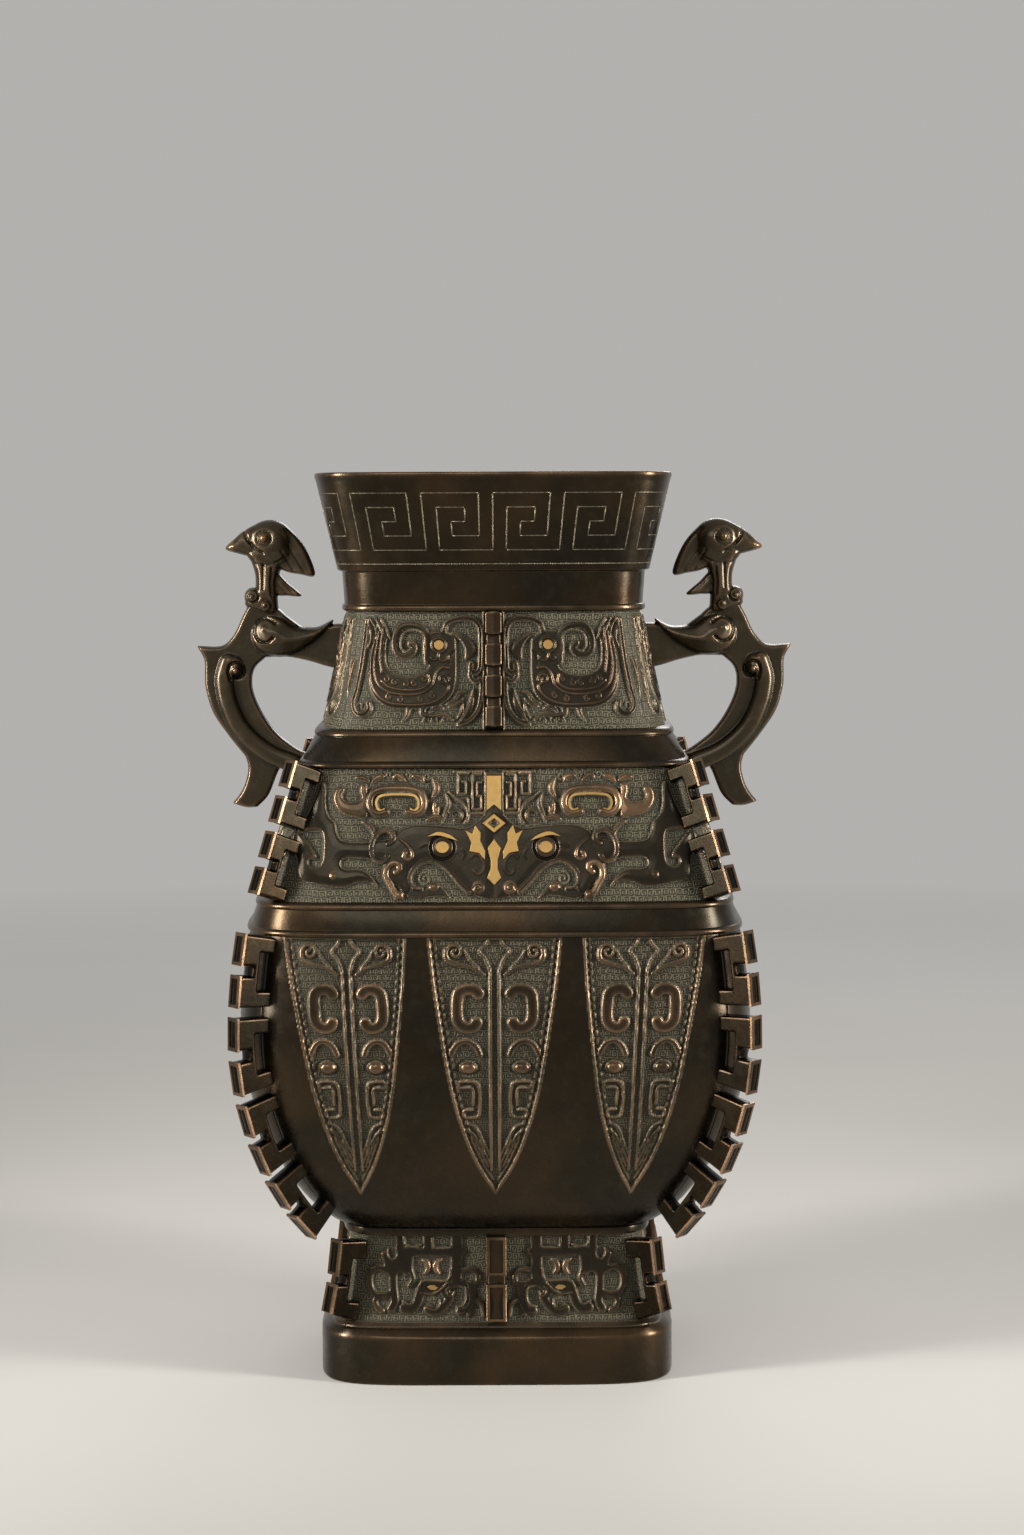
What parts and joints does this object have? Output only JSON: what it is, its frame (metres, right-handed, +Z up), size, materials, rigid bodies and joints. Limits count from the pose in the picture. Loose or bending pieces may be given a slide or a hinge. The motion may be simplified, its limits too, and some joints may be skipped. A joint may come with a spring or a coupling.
{
  "type": "hu vase",
  "caption": "Rounded-square bronze hu vase with a flared neck, bird handles at the sides, openwork corner flanges, a raised mask band, blade panels, gold inlay and a silver wire fret.",
  "frame": {"origin": "middle of the foot's underside, on the surface that the vase stands on", "axes": "+Z up along the vase, +Y away from the front face, +X to the right seen from the front, through the handles"},
  "size_m": [0.2968, 0.1984, 0.44],
  "materials": {
    "bronze": "dark brown patina, polished plain bands, grey-green in the sunken ground",
    "handle_bronze": "dark grey-brown patina, worn brown on the high edges",
    "flange_bronze": "dark patina, rubbed coppery on the ends of the teeth",
    "gold": "rubbed gold inlay",
    "silver": "tarnished silver wire"
  },
  "bodies": {
    "root": {"vessel_body": "bronze", "floor_plate": "bronze", "handle_right": "handle_bronze", "handle_left": "handle_bronze", "handle_eye_right_front": "gold", "handle_eye_right_back": "gold", "handle_eye_left_front": "gold", "handle_eye_left_back": "gold", "shoulder_flange_front_right": "flange_bronze", "shoulder_flange_front_left": "flange_bronze", "shoulder_flange_back_right": "flange_bronze", "shoulder_flange_back_left": "flange_bronze", "belly_flange_front_right": "flange_bronze", "belly_flange_front_left": "flange_bronze", "belly_flange_back_right": "flange_bronze", "belly_flange_back_left": "flange_bronze", "foot_flange_front_right": "flange_bronze", "foot_flange_front_left": "flange_bronze", "foot_flange_back_right": "flange_bronze", "foot_flange_back_left": "flange_bronze", "neck_flange_front": "flange_bronze", "neck_flange_back": "flange_bronze", "foot_centre_flange_front": "flange_bronze", "foot_centre_flange_back": "flange_bronze", "foot_centre_flange_right": "flange_bronze", "foot_centre_flange_left": "flange_bronze", "forehead_bar_front": "gold", "forehead_lozenge_front": "gold", "nose_dagger_front": "gold", "side_flame_right_front": "gold", "side_flame_left_front": "gold", "brow_right_front": "gold", "brow_left_front": "gold", "mask_pupil_right_front": "gold", "mask_pupil_left_front": "gold", "horn_line_right_front": "gold", "horn_line_left_front": "gold", "bird_eye_right_front": "gold", "bird_eye_left_front": "gold", "dragon_eye_right_front": "gold", "dragon_eye_left_front": "gold", "forehead_bar_back": "gold", "forehead_lozenge_back": "gold", "nose_dagger_back": "gold", "side_flame_right_back": "gold", "side_flame_left_back": "gold", "brow_right_back": "gold", "brow_left_back": "gold", "mask_pupil_right_back": "gold", "mask_pupil_left_back": "gold", "horn_line_right_back": "gold", "horn_line_left_back": "gold", "bird_eye_right_back": "gold", "bird_eye_left_back": "gold", "dragon_eye_right_back": "gold", "dragon_eye_left_back": "gold", "silver_fret": "silver"}
  },
  "joints": []
}
